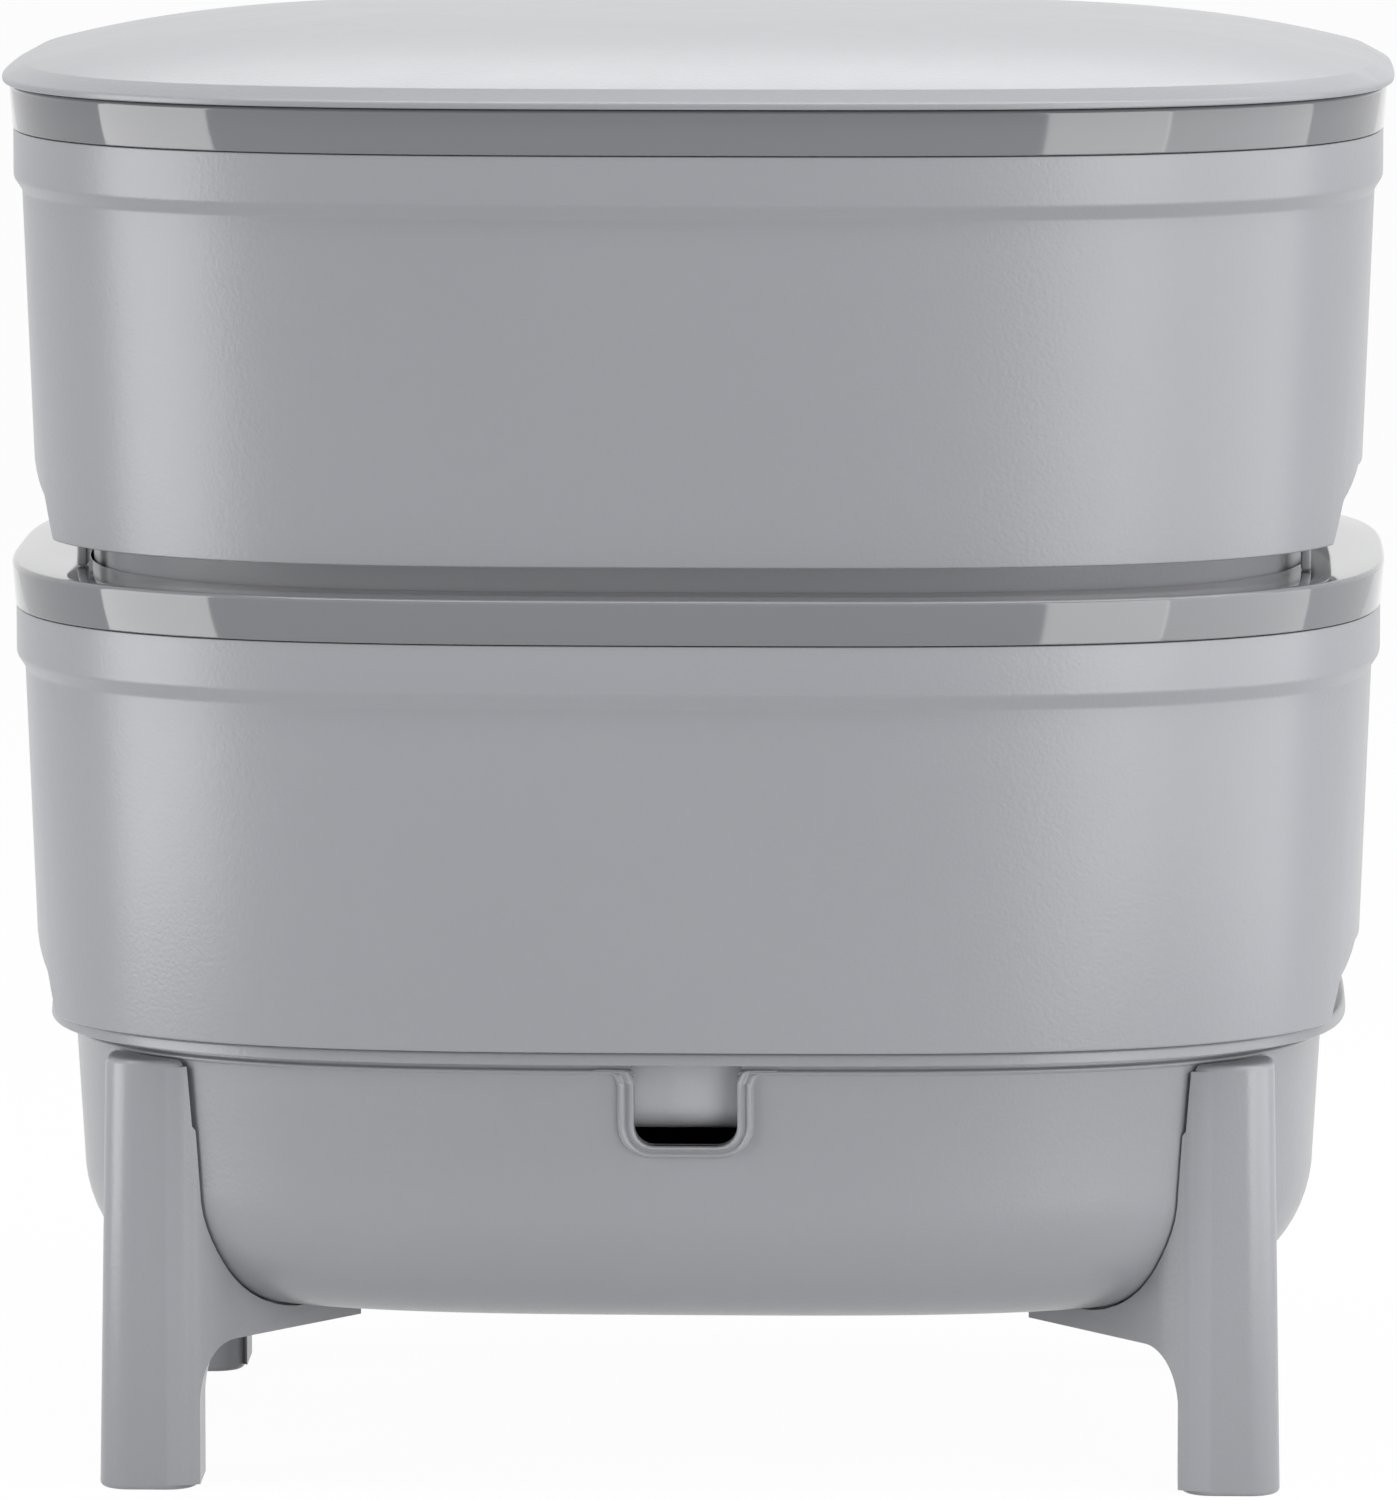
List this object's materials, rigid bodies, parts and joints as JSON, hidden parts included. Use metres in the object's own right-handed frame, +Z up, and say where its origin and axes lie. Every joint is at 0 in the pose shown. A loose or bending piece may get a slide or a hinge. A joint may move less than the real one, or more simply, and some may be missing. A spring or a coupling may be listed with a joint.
{
  "type": "wormery",
  "caption": "Oval indoor wormery: collecting tray with a front window on legs, two stacked slotted worm trays with gloss rims, and a low domed lid.",
  "frame": {"origin": "on the floor, under the middle of the oval body", "axes": "+Z up; the front with the window faces -Y; the long side of the oval runs along X"},
  "size_m": [0.381, 0.287, 0.3961],
  "materials": {
    "collecting_tray": "fine satin moulded plastic",
    "leg_front_left": "fine satin moulded plastic",
    "leg_front_right": "fine satin moulded plastic",
    "leg_rear_left": "fine satin moulded plastic",
    "leg_rear_right": "fine satin moulded plastic",
    "lower_shell": "fine satin moulded plastic",
    "lower_basket": "fine satin moulded plastic",
    "lower_rim_ring": "polished moulded plastic",
    "upper_shell": "fine satin moulded plastic",
    "upper_basket": "fine satin moulded plastic",
    "upper_rim_ring": "polished moulded plastic",
    "lid": "fine satin moulded plastic"
  },
  "bodies": {
    "base": {"collecting_tray": "collecting_tray", "leg_front_left": "leg_front_left", "leg_front_right": "leg_front_right", "leg_rear_left": "leg_rear_left", "leg_rear_right": "leg_rear_right"},
    "lower_tray": {"lower_shell": "lower_shell", "lower_basket": "lower_basket", "lower_rim_ring": "lower_rim_ring"},
    "upper_tray": {"upper_shell": "upper_shell", "upper_basket": "upper_basket", "upper_rim_ring": "upper_rim_ring"},
    "lid": {"lid": "lid"}
  },
  "joints": [
    {"name": "lower_tray_lift", "type": "slide", "parent": "base", "child": "lower_tray", "axis": [0, 0, 1], "range_m": [0, 0.15]},
    {"name": "upper_tray_lift", "type": "slide", "parent": "lower_tray", "child": "upper_tray", "axis": [0, 0, 1], "range_m": [0, 0.15]},
    {"name": "lid_lift", "type": "slide", "parent": "upper_tray", "child": "lid", "axis": [0, 0, 1], "range_m": [0, 0.15]}
  ]
}
